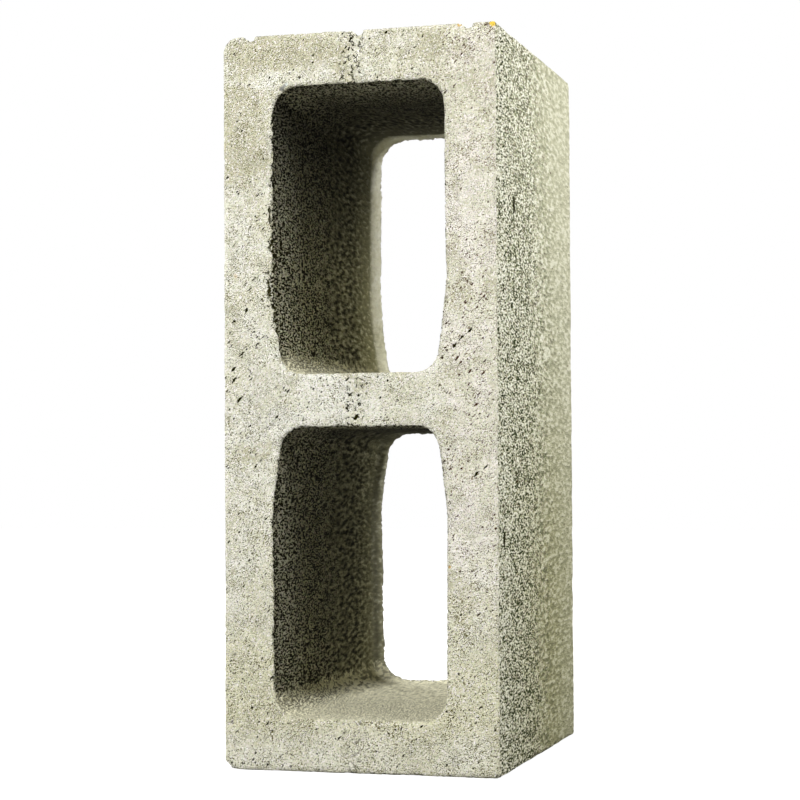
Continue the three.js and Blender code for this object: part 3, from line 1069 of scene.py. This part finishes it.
up_the_wall = g.minus(z, g.rise(in_upper, 0.0, 1.0, *CORE_FLOORS))
upper_wall = g.rise(up_the_wall, UPPER_CORE_FROM, CORE_HEIGHT, *UPPER_CORE_SHADE)
lower_wall = g.rise(up_the_wall, LOWER_CORE_FROM, CORE_HEIGHT, *LOWER_CORE_SHADE)
painted_shade_and_light_along_core = g.times(g.rise(y, *DARKER_AT, 1.0, DARKER), g.rise(y, *LIGHTER_AT, 1.0, LIGHTER))
painted_lip_shade_and_light = g.times(g.rise(y, *LIP_STEP, 1.0, LIP_STEP_SHADE), g.rise(y, *LIP_FACE, 1.0, PAINTED_LIP_FACE_LIGHT))
painted_shade_and_light_along_core = g.times(painted_shade_and_light_along_core, g.between(in_upper, painted_lip_shade_and_light, 1.0))
wall_shade = g.times(g.between(in_upper, lower_wall, upper_wall), painted_shade_and_light_along_core)
ceiling_shade = g.rise(y, *CEILING_AT, *CEILING_SHADE)
shaded = g.between(g.rise(up_the_wall, *CEILING), wall_shade, ceiling_shade)
colour = g.scaled(colour, g.between(g.times(inside, openness), 1.0, shaded))
g.tell("concrete, shaded in its cores")

# %% [markdown]
# Dust settles on the floors of the cores and banks up in their corners. It could be a thin mesh of its
# own, but it is finer than the sand it lies on, so it is only a paler colour with a ragged upper edge,
# and the deeper gaps still show through it.

# %% Dust on the floors of the cores
DUST_SHADE = (0.85, 0.815, 0.595, 1)
DUST_LINE = 3.0  # how far up the walls the dust reaches in the middle of a core
CORNER_FROM, CORNER_TO, CORNER_BANK = 32.0, 47.0, 9.0  # and how much further in its corners
RAGGED_SIZE, RAGGED_DUST = 2.5, 6.0
DUST_EDGE = 1.5
LOWEST_DUST = -4.0  # no floor sags lower than this
WALL_STARTS = (1.0, 4.0)
ON_FLOOR, FLOOR_CLING = (0.30, 0.70), (0.58, 1.0)  # the least on gaps, and the most on raised grains
ON_WALL, WALL_CLING = (0.40, 0.58), (0.3, 0.95)

up_the_corner = g.rise(across, CORNER_FROM, CORNER_TO, 0.0, CORNER_BANK)
ragged_line = swing(g, place, RAGGED_SIZE, 71, RAGGED_DUST, detail=1.0)
dust_line = g.plus(DUST_LINE, up_the_corner, ragged_line)
below_line = g.rise(g.minus(up_the_wall, dust_line), DUST_EDGE, -DUST_EDGE)
settled = g.times(below_line, g.math("GREATER_THAN", up_the_wall, LOWEST_DUST), inside)
clinging = g.between(
    g.rise(up_the_wall, *WALL_STARTS),
    g.rise(mixed, *ON_FLOOR, *FLOOR_CLING),
    g.rise(mixed, *ON_WALL, *WALL_CLING),
)
colour = g.blend(g.times(settled, clinging), colour, DUST_SHADE)
g.tell("concrete, with dust")

# %% [markdown]
# A few stains and odd grains catch the eye on a real block: ochre spots of iron in the sand, a smear of
# yellow marking paint on the upper edge, a grey smudge. They are placed one by one.

# %% Stains
STAINS = [  # x and z on the front, radius, colour, strength
    (56.0, 389.5, 1.8, (0.80, 0.50, 0.12, 1), 0.8),
    (73.6, 389.0, 2.4, (0.90, 0.62, 0.06, 1), 0.9),
    (49.0, 108.0, 1.1, (0.62, 0.38, 0.12, 1), 0.9),
    (-45.0, 151.0, 1.0, (0.60, 0.30, 0.18, 1), 0.6),
    (-68.0, 262.0, 1.6, (0.70, 0.50, 0.25, 1), 0.4),
    (-41.8, 360.9, 1.7, (0.20, 0.205, 0.20, 1), 0.85),
    (-40.2, 362.3, 1.6, (0.30, 0.31, 0.30, 1), 0.7),
    (-39.0, 363.0, 1.1, (0.70, 0.76, 0.72, 1), 0.8),
]

ragged_stain = shaken(g, place, 0.35, 1.2, 61)
for stain_x, stain_z, radius, stain_colour, strength in STAINS:
    from_stain = g.vector("LENGTH", g.vector("SUBTRACT", ragged_stain, (stain_x, block_low.y, stain_z)))
    stained = g.rise(from_stain, radius, 0.5 * radius, 0.0, strength)
    colour = g.blend(stained, colour, stain_colour)
print("stains:", len(STAINS))

# %% [markdown]
# Last comes the bump, which tilts the light on every grain. Gaps sink, grains stand up by chance, and
# the front is a little smoother than the torn faces. Dry concrete is rough and hardly shines, so one
# high roughness and very little gloss serve for all of it.

# %% Bump and shader
FRONT_HEIGHT, TORN_WALL_HEIGHT = 0.8, 1.0
GRAIN_STEP = 0.12
GAP_DEPTH = 0.3
ROUGHNESS = 0.95
GLOSS = 0.05

grain_height = g.rise(openness, 0.0, 1.0, FRONT_HEIGHT, TORN_WALL_HEIGHT)
raised = g.plus(g.times(mixed, grain_height), g.times(luck[2], sharp, GRAIN_STEP))
height = g.minus(raised, g.times(gap, GAP_DEPTH))
bump = g.add("ShaderNodeBump", {"Strength": 1.0, "Distance": MM, "Height": height})
shader = g.add("ShaderNodeBsdfPrincipled", {"Base Color": colour, "Normal": bump.outputs[0]})
shader.inputs["Roughness"].default_value = ROUGHNESS
shader.inputs["Specular IOR Level"].default_value = GLOSS
g.add("ShaderNodeOutputMaterial", {"Surface": shader.outputs[0]})
block.data.materials.clear()
block.data.materials.append(concrete)
g.tell("concrete, finished")
